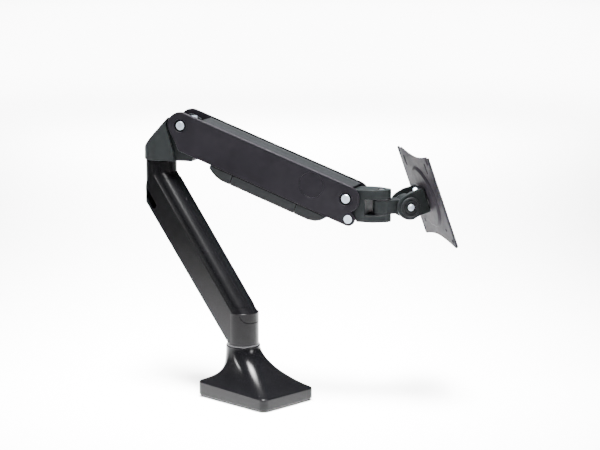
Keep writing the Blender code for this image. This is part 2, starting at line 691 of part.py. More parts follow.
def build_head(at):
    finish(head_block(), at, "satin_casting")
    finish(tilt_bolt(), at, "zinc")
    finish(tilt_nut(), at, "zinc")
    place = (TILT_X, 0, TONGUE_Z)
    finish(ring("tilt_washer_near", 4.3, 12.4, -11.3, -9.8, place, "y", 18), at, "steel")
    finish(ring("tilt_washer_far", 4.3, 12.4, 9.8, 11.3, place, "y", 18), at, "steel")


def build_yoke(at):
    finish(tilt_yoke(), at, "satin_casting")
    finish(tilt_cap(), at, "matte_cover")
    finish(hub_bolt(), at, "zinc")
    finish(lock_screw(), at, "zinc")


def build_plate(at):
    finish(vesa_plate(), at, "plate_steel")
    finish(ring("hub_washer", 4.3, 15.0, 23.1, 24.1, (0, 0, 0), "x", 24), at, "nylon")
    finish(hub_nut(), at, "zinc")


def build():
    clear_scene()
    build_base()
    lower = frame("lower_frame", None, (NECK_X, 0, 0))
    build_lower(lower)
    elbow = frame("elbow_frame", lower, (ELBOW_REACH, 0, BRACKET_Z), (0, 0, UPPER_TURN))
    build_elbow(elbow)
    upper = frame("upper_frame", elbow, (PIVOT_X, 0, PIVOT_Z), (0, UPPER_DROP, 0))
    build_upper(upper)
    lean, length = spring_line()
    spring = frame("spring_frame", upper, (SPRING_A, 0, SPRING_B), (0, -lean, 0))
    finish(gas_cylinder(), spring, "matte_cover")
    finish(gas_rod(length), spring, "steel")
    link = frame("link_frame", elbow, (PIVOT_X, 0, PIVOT_Z + LINK_DROP), (0, UPPER_DROP, 0))
    finish(parallel_link(), link, "steel")
    wrist = frame("wrist_frame", upper, (UPPER_LENGTH, 0, 0), (0, -UPPER_DROP, 0))
    build_wrist(wrist)
    head = frame("head_frame", wrist, (SWIVEL_X, 0, 0), (0, 0, HEAD_TURN))
    build_head(head)
    tilt = frame("tilt_frame", head, (TILT_X, 0, TONGUE_Z), (0, -TILT_UP, 0))
    build_yoke(tilt)
    build_plate(tilt)


build()
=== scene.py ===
"""Looks for the monitor arm: soft-edged castings, covers, pins and plate in painted and plated finishes."""

import json
import math

import bmesh
import bpy
from mathutils import Matrix, Vector


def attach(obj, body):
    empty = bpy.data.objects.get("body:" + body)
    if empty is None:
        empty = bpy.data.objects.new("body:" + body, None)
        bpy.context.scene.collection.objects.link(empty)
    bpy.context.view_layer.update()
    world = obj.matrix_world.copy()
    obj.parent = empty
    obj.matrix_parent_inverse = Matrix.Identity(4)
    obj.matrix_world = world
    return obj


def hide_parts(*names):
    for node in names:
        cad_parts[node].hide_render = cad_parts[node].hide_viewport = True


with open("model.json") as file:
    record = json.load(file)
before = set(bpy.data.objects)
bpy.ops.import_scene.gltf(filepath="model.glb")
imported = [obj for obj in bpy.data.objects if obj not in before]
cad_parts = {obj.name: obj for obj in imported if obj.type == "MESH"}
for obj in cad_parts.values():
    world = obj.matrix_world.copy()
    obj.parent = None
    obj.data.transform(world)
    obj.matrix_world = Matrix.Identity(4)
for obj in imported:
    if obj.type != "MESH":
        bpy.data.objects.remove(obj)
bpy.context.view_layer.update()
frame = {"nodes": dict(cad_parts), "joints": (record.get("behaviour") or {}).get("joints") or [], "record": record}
NODES = frame["nodes"]
JOINTS = {j["name"]: j for j in frame["joints"]}

# Sizes in millimetres, angles in degrees.
BASE_X, BASE_Y, BASE_R = 58.2, 43.7, 8.0
PLINTH_TOP, PLINTH_RISE, NECK_TOP = 15.5, 3.5, 63.2
NECK_R, BARREL_R = 21.0, 19.4
LOWER_BOTTOM, LOWER_TOP = 64.8, 276.6
ELBOW_REACH, KINK_LOW, KINK_HIGH = -145.0, 104.0, 263.5
ARM_HALF, BULGE = 19.1, 18.9
COVER_HALF_ANGLE, COVER_LOW, COVER_HIGH = 60.0, 112.0, 255.0
BRACKET_HALF, EAR_HALF = 20.9, 16.2
PIVOT_X, PIVOT_Z = 34.8, 45.0
UPPER_LENGTH = 230.3
WALL_OUT, WALL_IN, WALL_TOP, WALL_BOTTOM = 21.0, 17.5, 17.0, -30.5
COVER_DEPTH = -43.5
PIN_R, PIN_HEAD_R = 4.0, 5.3
SPRING_A, SPRING_B = 184.0, -1.0
LINK_DROP = -13.0
SWIVEL_X, TONGUE_Z = 39.1, -9.8
TILT_X = 31.5
PLATE_X, PLATE_THICK, DISH_RAISE = 27.0, 3.0, 2.6
PLATE_HALF_W, PLATE_HALF_H = 55.0, 58.4
VESA_SMALL, VESA_LARGE = 37.5, 50.0
VIEW_HEADING, VIEW_PITCH = 44.1, 79.5


# Frames on the joints


def spot(joint):
    return Matrix.Translation(JOINTS[joint]["pos_m"])


def turn(angle, axis):
    return Matrix.Rotation(angle, 4, axis)


def joint_frames():
    """Each body's own frame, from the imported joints."""
    lift = JOINTS["arm_lift"]
    heading = math.atan2(lift["axis"][0], -lift["axis"][1])
    reach = Vector(JOINTS["wrist_level"]["pos_m"]) - Vector(lift["pos_m"])
    drop = math.asin(-reach.z / reach.length)
    tilt = JOINTS["head_tilt"]["axis"]
    facing = math.atan2(tilt[0], -tilt[1])
    up = math.asin(JOINTS["plate_rotate"]["axis"][2])
    neck = JOINTS["base_swivel"]["pos_m"]
    return {
        "base": Matrix.Identity(4),
        "lower": Matrix.Translation((neck[0], neck[1], 0.0)),
        "elbow": spot("elbow_swivel") @ turn(heading, "Z"),
        "upper": spot("arm_lift") @ turn(heading, "Z") @ turn(drop, "Y"),
        "wrist": spot("wrist_level") @ turn(heading, "Z"),
        "head": spot("head_swivel") @ turn(facing, "Z"),
        "tilt": spot("head_tilt") @ turn(facing, "Z") @ turn(-up, "Y"),
    }


FRAMES = joint_frames()


# Shape tools


def solid(name, verts, faces):
    mesh = bpy.data.meshes.new(name)
    mesh.from_pydata([[c * 0.001 for c in v] for v in verts], [], faces)
    bm = bmesh.new()
    bm.from_mesh(mesh)
    bmesh.ops.recalc_face_normals(bm, faces=bm.faces)
    bm.to_mesh(mesh)
    bm.free()
    obj = bpy.data.objects.new(name, mesh)
    bpy.context.scene.collection.objects.link(obj)
    return obj


def loft(name, rings):
    """A closed skin through rings of equal length, capped at both ends."""
    count = len(rings[0])
    verts = [v for ring in rings for v in ring]
    faces = [list(range(count)), list(range(len(verts) - count, len(verts)))]
    for k in range(len(rings) - 1):
        for i in range(count):
            j = (i + 1) % count
            faces.append([k * count + i, k * count + j, (k + 1) * count + j, (k + 1) * count + i])
    return solid(name, verts, faces)


def soften(points, radius, closed=True, steps=4, least=14.0):
    """Rounds each corner of an outline or profile that turns by more than the least angle."""
    made = []
    count = len(points)
    for i, point in enumerate(points):
        here = Vector(point)
        if not closed and i in (0, count - 1):
            made.append(tuple(here))
            continue
        before = Vector(points[i - 1]) - here
        after = Vector(points[(i + 1) % count]) - here
        if before.length < 1e-6 or after.length < 1e-6:
            continue
        if 180 - math.degrees(before.angle(after)) < least:
            made.append(tuple(here))
            continue
        back = here + before.normalized() * min(radius, before.length * 0.45)
        on = here + after.normalized() * min(radius, after.length * 0.45)
        for k in range(steps + 1):
            t = k / steps
            made.append(tuple(back * (1 - t) ** 2 + here * (2 * t * (1 - t)) + on * t * t))
    return made


def area(points):
    return 0.5 * sum(
        points[k - 1][0] * points[k][1] - points[k][0] * points[k - 1][1] for k in range(len(points))
    )


def inset(points, amount):
    """Moves an outline inwards by the amount."""
    side = 1.0 if area(points) > 0 else -1.0
    made = []
    count = len(points)
    for i, point in enumerate(points):
        here = Vector(point)
        along_a = (here - Vector(points[i - 1])).normalized()
        along_b = (Vector(points[(i + 1) % count]) - here).normalized()
        normal = Vector((-along_a.y - along_b.y, along_a.x + along_b.x)) * side
        if normal.length < 1e-6:
            normal = Vector((-along_a.y, along_a.x)) * side
        normal.normalize()
        lean = max(0.5, normal.dot(Vector((-along_a.y, along_a.x)) * side))
        made.append(tuple(here + normal * (amount / lean)))
    return made


def levels(lo, hi, soft, steps=3):
    """Heights and insets that round both rims of a prism."""
    quarter = [math.radians(90 * k / steps) for k in range(steps + 1)]
    low = [(lo + soft * (1 - math.cos(q)), soft * (1 - math.sin(q))) for q in quarter]
    high = [(hi - (h - lo), d) for h, d in low[::-1]]
    return low + high


def prism(name, outline, lo, hi, soft=0.5, corner=0.6, plane="xz", steps=3):
    """An outline carried between two levels, with soft corners and rims."""
    outline = soften(outline, corner) if corner else outline
    rings = []
    for height, amount in levels(lo, hi, soft, steps) if soft else [(lo, 0), (hi, 0)]:
        ring = inset(outline, amount) if amount else outline
        if plane == "xz":
            rings.append([(a, height, b) for a, b in ring])
        if plane == "xy":
            rings.append([(a, b, height) for a, b in ring])
        if plane == "yz":
            rings.append([(height, a, b) for a, b in ring])
    return loft(name, rings)


def arc(cx, cy, r, start, end, steps):
    turns = [math.radians(start + (end - start) * k / steps) for k in range(steps + 1)]
    return [(cx + r * math.cos(t), cy + r * math.sin(t)) for t in turns]


def oblong(half_x, half_y, r, steps=8):
    corners = ((1, 1, 0), (-1, 1, 90), (-1, -1, 180), (1, -1, 270))
    points = []
    for sx, sy, start in corners:
        points += arc(sx * (half_x - r), sy * (half_y - r), r, start, start + 90, steps)
    return points


def block(x, y, z):
    return prism("t", [(x[0], y[0]), (x[1], y[0]), (x[1], y[1]), (x[0], y[1])], z[0], z[1], 0, 0, "xy")


def turned(name, profile, centre=(0.0, 0.0, 0.0), axis="z", soft=0.25, steps=48):
    """Revolves (radius, height) points; a profile that touches radius 0 at both ends is solid."""
    closed = profile[0][0] > 0
    if soft:
        profile = soften(profile, soft, closed, 3)
    rows = [p for p in profile if p[0] > 1e-6]
    spins = [2 * math.pi * k / steps for k in range(steps)]
    verts = [(r * math.cos(t), r * math.sin(t), h) for r, h in rows for t in spins]
    count = len(rows)
    faces = []
    for k in range(count if closed else count - 1):
        for i in range(steps):
            j = (i + 1) % steps
            m = (k + 1) % count
            faces.append([k * steps + i, k * steps + j, m * steps + j, m * steps + i])
    if not closed:
        faces += [list(range(steps)), list(range((count - 1) * steps, count * steps))]
    obj = solid(name, verts, faces)
    if axis == "y":
        obj.data.transform(Matrix.Rotation(math.radians(-90), 4, "X"))
    if axis == "x":
        obj.data.transform(Matrix.Rotation(math.radians(90), 4, "Y"))
    obj.data.transform(Matrix.Translation([v * 0.001 for v in centre]))
    return obj


def rod(r, h0, h1, centre=(0.0, 0.0, 0.0), axis="z", steps=48):
    return turned("t", [(0, h0), (r, h0), (r, h1), (0, h1)], centre, axis, 0, steps)


def bore(r, h0, h1, centre=(0.0, 0.0, 0.0), axis="z", mouth=0.4, steps=48):
    """A cutter whose hole opens softly at both levels."""
    wide, mid = r + mouth, r + mouth * 0.3
    profile = [(0, h0 - 3), (wide, h0 - 3), (wide, h0), (mid, h0 + mouth * 0.3), (r, h0 + mouth)]
    profile += [(r, h1 - mouth), (mid, h1 - mouth * 0.3), (wide, h1), (wide, h1 + 3), (0, h1 + 3)]
    return turned("t", profile, centre, axis, 0, steps)


def combine(target, tools, operation):
    for tool in tools:
        step = target.modifiers.new(tool.name, "BOOLEAN")
        step.operation = operation
        step.solver = "EXACT"
        step.object = tool
        bake(target)
        bpy.data.objects.remove(tool, do_unlink=True)
    bm = bmesh.new()
    bm.from_mesh(target.data)
    bmesh.ops.remove_doubles(bm, verts=bm.verts, dist=0.000002)
    bmesh.ops.dissolve_degenerate(bm, edges=bm.edges, dist=0.000002)
    bm.to_mesh(target.data)
    bm.free()
    return target


def bake(obj):
    """Turns an object's modifiers into its mesh."""
    bpy.context.view_layer.update()
    graph = bpy.context.evaluated_depsgraph_get()
    result = bpy.data.meshes.new_from_object(obj.evaluated_get(graph))
    obj.modifiers.clear()
    obj.data = result
    return obj


def cut(target, *tools):
    return combine(target, tools, "DIFFERENCE")


def join(target, *tools):
    return combine(target, tools, "UNION")


def meet(target, *tools):
    return combine(target, tools, "INTERSECT")


def flatten(obj, angle=1.0):
    """Merges the flat facets that cutting leaves."""
    bm = bmesh.new()
    bm.from_mesh(obj.data)
    bmesh.ops.dissolve_limit(bm, angle_limit=math.radians(angle), verts=bm.verts, edges=bm.edges)
    bm.to_mesh(obj.data)
    bm.free()
    return obj


def round_edges(obj, width, segments=3, angle=28.0):
    flatten(obj)
    step = obj.modifiers.new("edges", "BEVEL")
    step.width = width * 0.001
    step.segments = segments
    step.limit_method = "ANGLE"
    step.angle_limit = math.radians(angle)
    step.use_clamp_overlap = True
    return bake(obj)


# Finishes


def link(tree, a, b):
    tree.links.new(a, b)


def add(tree, kind, **values):
    node = tree.nodes.new(kind)
    for key, value in values.items():
        if key.startswith("in_"):
            node.inputs[key[3:].replace("_", " ")].default_value = value
        else:
            setattr(node, key, value)
    return node


def noise(tree, coords, scale, detail=4.0, rough=0.55):
    node = add(tree, "ShaderNodeTexNoise", in_Scale=scale, in_Detail=detail, in_Roughness=rough)
    link(tree, coords, node.inputs["Vector"])
    return node.outputs["Fac"]


def spread(tree, value, a, b, c, d):
    """Maps a value from one range to another."""
    node = add(tree, "ShaderNodeMapRange")
    for key, number in zip(("From Min", "From Max", "To Min", "To Max"), (a, b, c, d)):
        node.inputs[key].default_value = number
    link(tree, value, node.inputs["Value"])
    return node.outputs["Result"]


def mixed(tree, factor, a, b):
    node = add(tree, "ShaderNodeMix", data_type="RGBA")
    for socket, value in ((node.inputs[6], a), (node.inputs[7], b)):
        if isinstance(value, tuple):
            socket.default_value = (*value, 1.0)
        else:
            link(tree, value, socket)
    link(tree, factor, node.inputs[0])
    return node.outputs[2]


MOTTLE = 0.12


def finish_look(name, colour, rough, grain, grain_depth, metal=0.0, worn=(0.3, 0.3, 0.32), wear=0.25,
                rough_range=0.06, brush=None, spec=0.5):
    """Painted, moulded or plated metal with grain, uneven gloss, small scratches and rubbed edges."""
    look = bpy.data.materials.new(name)
    look.use_nodes = True
    tree = look.node_tree
    shader = tree.nodes["Principled BSDF"]
    shader.inputs["Metallic"].default_value = metal
    shader.inputs["Specular IOR Level"].default_value = spec
    coords = add(tree, "ShaderNodeTexCoord").outputs["Object"]
    cloud = noise(tree, coords, 28.0, 5.0)
    patch = noise(tree, coords, 160.0, 3.0)
    fine = noise(tree, coords, grain, 2.0)
    dark = tuple(c * (1 - MOTTLE) for c in colour)
    light = tuple(min(1.0, c * (1 + MOTTLE)) for c in colour)
    tint = mixed(tree, spread(tree, cloud, 0.3, 0.7, 0.0, 1.0), dark, light)
    edge = add(tree, "ShaderNodeNewGeometry").outputs["Pointiness"]
    bare = add(tree, "ShaderNodeMath", operation="MULTIPLY")
    link(tree, spread(tree, edge, 0.53, 0.62, 0.0, wear), bare.inputs[0])
    link(tree, spread(tree, patch, 0.35, 0.65, 0.2, 1.0), bare.inputs[1])
    tint = mixed(tree, bare.outputs[0], tint, worn)
    link(tree, tint, shader.inputs["Base Color"])
    gloss = add(tree, "ShaderNodeMath", operation="ADD")
    link(tree, spread(tree, cloud, 0.3, 0.7, rough - rough_range, rough + rough_range), gloss.inputs[0])
    link(tree, spread(tree, patch, 0.4, 0.75, 0.0, rough_range), gloss.inputs[1])
    link(tree, gloss.outputs[0], shader.inputs["Roughness"])
    height = fine
    if brush:
        squash = add(tree, "ShaderNodeMapping")
        squash.inputs["Scale"].default_value = brush
        link(tree, coords, squash.inputs["Vector"])
        lines = noise(tree, squash.outputs["Vector"], 600.0, 3.0)
        blend = add(tree, "ShaderNodeMath", operation="ADD")
        link(tree, lines, blend.inputs[0])
        link(tree, fine, blend.inputs[1])
        height = blend.outputs[0]
    bump = add(tree, "ShaderNodeBump")
    bump.inputs["Strength"].default_value = 1.0
    bump.inputs["Distance"].default_value = grain_depth * 0.001
    link(tree, height, bump.inputs["Height"])
    link(tree, bump.outputs["Normal"], shader.inputs["Normal"])
    return look


FINISHES = {
    "gloss_black_paint": dict(
        colour=(0.0016, 0.0016, 0.0019), rough=0.2, grain=700.0, grain_depth=0.002, spec=0.07,
        wear=0.02, worn=(0.01, 0.01, 0.011), rough_range=0.012,
    ),
    "satin_charcoal_paint": dict(
        colour=(0.0052, 0.0062, 0.0066), rough=0.45, grain=1800.0, grain_depth=0.02, spec=0.06,
        wear=0.08, worn=(0.05, 0.05, 0.055),
    ),
    "satin_blue_grey_paint": dict(
        colour=(0.0036, 0.0032, 0.0045), rough=0.42, grain=1800.0, grain_depth=0.02, spec=0.06,
        wear=0.10, worn=(0.05, 0.05, 0.055),
    ),
    "spring_black_paint": dict(
        colour=(0.008, 0.008, 0.009), rough=0.3, grain=1500.0, grain_depth=0.01, spec=0.35,
    ),
    "plate_paint": dict(
        colour=(0.0075, 0.0068, 0.0085), rough=0.6, grain=1500.0, grain_depth=0.03, spec=0.03,
        wear=0.2, worn=(0.06, 0.06, 0.065),
    ),
    "charcoal_plastic": dict(
        colour=(0.0040, 0.0045, 0.0050), rough=0.6, grain=1500.0, grain_depth=0.03, spec=0.08,
        wear=0.05, worn=(0.05, 0.05, 0.055),
    ),
    "zinc_plated_steel": dict(
        colour=(0.66, 0.74, 0.84), rough=0.34, metal=1.0, grain=900.0, grain_depth=0.006,
        wear=0.1, brush=(1, 1, 8),
    ),
    "steel": dict(
        colour=(0.42, 0.43, 0.45), rough=0.3, metal=1.0, grain=900.0, grain_depth=0.006,
        wear=0.1, brush=(1, 1, 8),
    ),
    "nylon": dict(colour=(0.016, 0.016, 0.018), rough=0.5, grain=1500.0, grain_depth=0.02, wear=0.0, spec=0.3),
    "rubber": dict(colour=(0.02, 0.02, 0.02), rough=0.85, grain=1500.0, grain_depth=0.05, wear=0.0, spec=0.3),
}
LOOKS = {name: finish_look(name, **values) for name, values in FINISHES.items()}


def check_sound(obj, label):
    """Stops on a piece that cutting has emptied or torn open."""
    bm = bmesh.new()
    bm.from_mesh(obj.data)
    torn = sum(1 for edge in bm.edges if len(edge.link_faces) != 2)
    volume = bm.calc_volume() * 1e9
    bm.free()
    if torn or volume <= 0:
        raise RuntimeError(f"{label} is torn or empty: {torn} open edges, {volume:.0f} mm3")


def place(obj, at, body, slot, *nodes, sharp=32.0):
    """Puts a finished piece in its body's frame, in place of its plain nodes."""
    check_sound(obj, nodes[0])
    obj.name = "look_" + nodes[0]
    obj.data.transform(FRAMES[at])
    obj.data.materials.clear()
    obj.data.materials.append(LOOKS[slot])
    obj.data.shade_smooth()
    obj.data.set_sharp_from_angle(angle=math.radians(sharp))
    step = obj.modifiers.new("normals", "WEIGHTED_NORMAL")
    step.keep_sharp = True
    step.weight = 90
    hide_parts(*nodes)
    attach(obj, body)
    return obj


# Base


def tilt_up(x):
    """The plinth's top edge climbs a little from the front to the back."""
    return PLINTH_RISE * (BASE_X - x) / (2 * BASE_X)


def flare_ring(z):
    outline = oblong(BASE_X - 1, BASE_Y - 1, BASE_R, 12)
    back, front = max(0.0, (46.0 - z) / 30.5) ** 2.8, max(0.0, (62.0 - z) / 46.5) ** 1.75
    count = len(outline)
    neck = JOINTS["base_swivel"]["pos_m"][0] * 1000
    points = []
    for k, (x, y) in enumerate(outline):
        t = 2 * math.pi * (k + 0.5) / count
        weight = back + (front - back) * (0.5 + 0.5 * math.cos(t))
        cx, cy = neck + NECK_R * math.cos(t), NECK_R * math.sin(t)
        points.append((cx + (x - cx) * weight, cy + (y - cy) * weight, z + tilt_up(x) * weight))
    return points


def make_base():
    rings = []
    rims = ((2.3, 0.8), (2.5, 0.3), (3.1, 0.0), (13.6, 0.0), (14.4, 0.12), (15.0, 0.45), (15.35, 0.85))
    for z, drawn in rims:
        outline = oblong(BASE_X - drawn, BASE_Y - drawn, BASE_R, 12)
        rings.append([(x, y, z + (tilt_up(x) if z > 5 else 0)) for x, y in outline])
    for k in range(1, 31):
        rings.append(flare_ring(PLINTH_TOP + 46.5 * (k / 30) ** 1.4))
    rings.append(flare_ring(NECK_TOP - 0.6))
    top = flare_ring(NECK_TOP)
    neck = JOINTS["base_swivel"]["pos_m"][0] * 1000
    rings.append([(neck + (x - neck) * 0.985, y * 0.985, z - 0.15) for x, y, z in top])
    rings.append([(neck + (x - neck) * 0.97, y * 0.97, z) for x, y, z in top])
    body = loft("base", rings)
    cut(body, prism("t", oblong(54.0, 39.5, 6.0), 1.0, 5.9, 0, 0, "xy"))
    cut(body, prism("t", oblong(40.0, 27.0, 6.0), 5.0, 12.0, 0, 0, "xy"))
    cut(body, rod(4.5, 8.0, 32.0, (neck, 0, 0)), rod(8.3, 24.0, 70.0, (neck, 0, 0)))
    for x, y in ((-46.5, -32.5), (46.5, 32.5)):
        cut(body, rod(2.3, 4.0, 13.0, (x, y, 0), steps=24))
    place(body, "base", "base", "gloss_black_paint", "base_casting", sharp=40.0)


# Lower arm


def centre_line(z):
    return ELBOW_REACH * (z - KINK_LOW) / (KINK_HIGH - KINK_LOW)


def sheared(name, section, z0, z1, steps=1):
    rings = []
    for k in range(steps + 1):
        z = z0 + (z1 - z0) * k / steps
        rings.append([(x + centre_line(z), y, z) for x, y in section])
    return loft(name, rings)


def round_front(r_y, r_x, half, steps):
    return [(r_x * c, r_y * s) for c, s in arc(0, 0, 1, -half, half, steps)]


def lipped_front():
    """The round front's section, with a rounded corner and a narrow step on each side."""
    half = [(-3, 19.05), (0.6, 19.05), (1.3, 18.95), (1.9, 18.6), (2.3, 18.1), (2.4, 17.9)]
    front = round_front(ARM_HALF - 0.75, BULGE - 0.4, 80, 40)
    return [(x, -y) for x, y in half] + front + half[::-1]


def crease():
    """The shallow rounded groove under the cover, where the slope runs out on the barrel."""
    rings = []
    for k in range(33):
        angle = -1.02 + 2.04 * k / 32
        drop = 92.6 + 9.0 * (angle / 1.02) ** 4
        c, s = math.cos(angle), math.sin(angle)
        rings.append([(r * c, r * s, drop + h) for r, h in ((18.75, 0.0), (19.6, -0.55), (19.6, 0.55))])
    return loft("t", rings)


def make_lower():
    web = [(0, 66.7), (-7.6, 66.7), (-154.4, 223.7), (-154.4, 246.0), (-145, KINK_HIGH), (0, KINK_LOW)]
    body = prism("lower", web, -ARM_HALF, ARM_HALF, 0, 0)
    round_edges(body, 0.9)
    join(body, sheared("t", lipped_front(), 104.3, 263.2))
    barrel = [(0, LOWER_BOTTOM), (BARREL_R, LOWER_BOTTOM), (BARREL_R, 104.6), (0, 104.6)]
    join(body, turned("t", barrel, (0, 0, 0), "z", 0.5, 64))
    barrel = [(0, 246.0), (BARREL_R, 246.0), (BARREL_R, LOWER_TOP), (0, LOWER_TOP)]
    join(body, turned("t", barrel, (ELBOW_REACH, 0, 0), "z", 0.5, 64))
    outer = round_front(30, 30, COVER_HALF_ANGLE + 1.2, 24)
    inner = round_front(ARM_HALF - 2.9, BULGE - 2.9, COVER_HALF_ANGLE + 1.2, 24)
    cut(body, sheared("t", outer + inner[::-1], COVER_LOW - 0.4, COVER_HIGH + 0.4))
    cut(body, rod(11.0, 60.0, 99.0), rod(8.0, 229.0, 280.0, (ELBOW_REACH, 0, 0)))
    cut(body, block((-153.25, -126), (-12, 12), (229, 243.2)))
    mouth = [(-153.0, 243.0), (-134.0, 221.5), (-136.5, 217.0), (-142.0, 216.5), (-153.0, 229.7)]
    cut(body, prism("t", mouth, -22, -9, 0, 0))
    cut(body, bore(3.3, 10, 19.1, (0, 0, 81.0), "y", 0.3, 24))
    cut(body, crease())
    place(body, "lower", "lower_arm", "gloss_black_paint", "lower_arm_casting", sharp=30.0)
    outer = round_front(ARM_HALF, BULGE, COVER_HALF_ANGLE - 1.2, 40)
    edge = round_front(ARM_HALF - 0.5, BULGE - 0.5, COVER_HALF_ANGLE, 40)
    inner = round_front(ARM_HALF - 2.5, BULGE - 2.5, COVER_HALF_ANGLE, 40)
    section = [inner[0], edge[0]] + outer + [edge[-1]] + inner[::-1][:-1]
    cover = sheared("cover", section, COVER_LOW, COVER_HIGH)
    place(cover, "lower", "lower_arm", "gloss_black_paint", "lower_arm_cover", sharp=40.0)


# Elbow


def make_elbow():
    px, pz = PIVOT_X, PIVOT_Z
    hollow = arc(px, pz, 19.3, 151, 205, 18)
    side = [(-30, 0), (-30, 2.7), (-22, 11.5)] + hollow + [(px - 11.5, pz - 29), (26.3, 0)]
    body = prism("elbow", side, -BRACKET_HALF, BRACKET_HALF, 0, 0)
    plan = arc(0, 0, BRACKET_HALF, 90, 270, 48) + [(60, -BRACKET_HALF), (60, BRACKET_HALF)]
    meet(body, prism("t", plan, -5, 80, 0, 0, "xy"))
    round_edges(body, 0.8, 3, 24.0)
    ear = [(5, 0.3), (48, 0.3), (49, 1), (49, 5.5), (46, 9), (44, 24), (49, 38), (49, 50)]
    ear += arc(px, pz, 11, 55, 150, 16) + [(10, 38), (5, 30)]
    join(body, prism("t", ear, -EAR_HALF, EAR_HALF, 0.5, 0.8))
    slot = [(-11, 7), (-11, 17.6), (20.5, 52.2), (30, 75), (70, 75), (70, 7)]
    cut(body, prism("t", slot, -12.4, 12.4, 0, 0.5))
    bridge = [(px + 5.5, 44.5), (48.8, 44.5), (48.8, 49.9), (px + 5.5, 49.9)]
    join(body, prism("t", bridge, -13.5, 13.5, 0, 0.6))
    cut(body, rod(3.3, 40, 60, (44.3, 0, 0)), rod(5.3, -5, 10))
    cut(body, rod(PIN_R + 0.3, -25, 25, (px, 0, pz), "y"))
    cut(body, rod(2.8, -25, 25, (px, 0, pz + LINK_DROP), "y"))
    place(body, "elbow", "elbow", "satin_charcoal_paint", "elbow_bracket", sharp=30.0)


# Upper arm


def wall_outline():
    ax = UPPER_LENGTH
    points = arc(0, 0, WALL_TOP, 90, 212, 30)
    points += [(0.5, -22.0), (5.6, -28.2), (8.5, WALL_BOTTOM)]
    points += arc(ax + 11.2, -22.2, 8.3, -90, 38, 20)
    points += arc(ax, 0, WALL_TOP, -46, 90, 32)
    return points


def make_channel():
    outline = soften(wall_outline(), 0.8)
    body = prism("channel", outline, -WALL_OUT, WALL_OUT, 1.3, 0, "xz", 4)
    cut(body, block((-40, 280), (-WALL_IN, WALL_IN), (-50, 10.0)))
    cut(body, block((-40, 280), (-WALL_IN, WALL_IN), (12.6, 30)))
    cut(body, *[block(reach, (-WALL_IN, WALL_IN), (5, 20)) for reach in ((-40, 20.0), (214, 280))])
    pin = (PIN_R + 0.3, 8.3, 2.4)
    places = [(0, 0, *pin), (UPPER_LENGTH, 0, *pin), (UPPER_LENGTH + 11.2, -22.2, 2.8, 5.4, 2.3)]
    places.append((SPRING_A, SPRING_B, 3.3, 15.7, 1.2))
    for a, b, hole, sink, depth in places:
        cut(body, rod(hole, -30, 30, (a, 0, b), "y"))
        for side in (-1, 1):
            well = [(0, WALL_OUT - depth), (sink, WALL_OUT - depth), (sink, WALL_OUT - 0.35)]
            well += [(sink + 0.35, WALL_OUT), (sink + 0.35, WALL_OUT + 4), (0, WALL_OUT + 4)]
            tool = turned("t", [(r, side * h) for r, h in well], (a, 0, b), "y", 0, 48)
            cut(body, tool)
    return place(body, "upper", "upper_arm", "satin_blue_grey_paint", "upper_arm_channel", sharp=30.0)


def make_top_cover():
    outline = [(22, 12.9), (222, 12.9), (232, 14.8), (232, 15.6), (22, 15.6)]
    body = prism("top", outline, -17.1, 17.1, 0.4, 0.35)
    place(body, "upper", "upper_arm", "charcoal_plastic", "upper_top_cover")


def make_cable_cover(name, outline, tabs):
    body = prism(name, outline, -20.2, 20.2, 0, 0)
    round_edges(body, 0.8)
    low = min(b for _, b in outline)
    start, end = outline[0][0], outline[-1][0]
    inner = [(55, -25), (55.4, -33.8), (60, -36.9), (66, -39.7), (73.5, low + 2)]
    inner += [(end - 2, low + 2), (end - 2, -25)]
    if start > 60:
        inner = [(start - 5, -25), (start - 5, low + 2), (end + 5, low + 2), (end + 5, -25)]
    if start > 170:
        inner = [(start - 5, -25), (start - 5, low + 2)]
        inner += [(end - 22, low + 2), (end - 7, low + 8), (end - 3, -25)]
    cut(body, prism("t", inner, -18.2, 18.2, 0, 0))
    for a in tabs:
        for foot, clip in (((15.3, 18.6), (15.3, 17.1)), ((-18.6, -15.3), (-17.1, -15.3))):
            join(body, block((a - 5, a + 5), foot, (-36.4, -33.2)), block((a - 5, a + 5), clip, (-34.6, -25.2)))
    place(body, "upper", "upper_arm", "charcoal_plastic", name)


def make_cable_covers():
    top = WALL_BOTTOM - 0.3
    rear = [(53.0, top), (53.5, -35.0), (59, -38.6), (65, -41.5), (73, COVER_DEPTH)]
    rear += [(84.9, COVER_DEPTH), (84.9, top)]
    middle = [(85.7, top), (85.7, COVER_DEPTH), (173.9, COVER_DEPTH), (173.9, top)]
    front = [(174.7, top), (174.7, COVER_DEPTH), (194, COVER_DEPTH), (203, -41.5), (210, -37.5), (214.5, top)]
    make_cable_cover("cable_cover_rear", rear, (74,))
    make_cable_cover("cable_cover_middle", middle, (100, 160))
    make_cable_cover("cable_cover_front", front, (186,))


def socket(r, h0, h1, centre, axis):
    """A hex socket cutter."""
    tool = turned("t", [(0, h0), (r, h0), (r, h1), (0, h1)], centre, axis, 0, 6)
    return tool


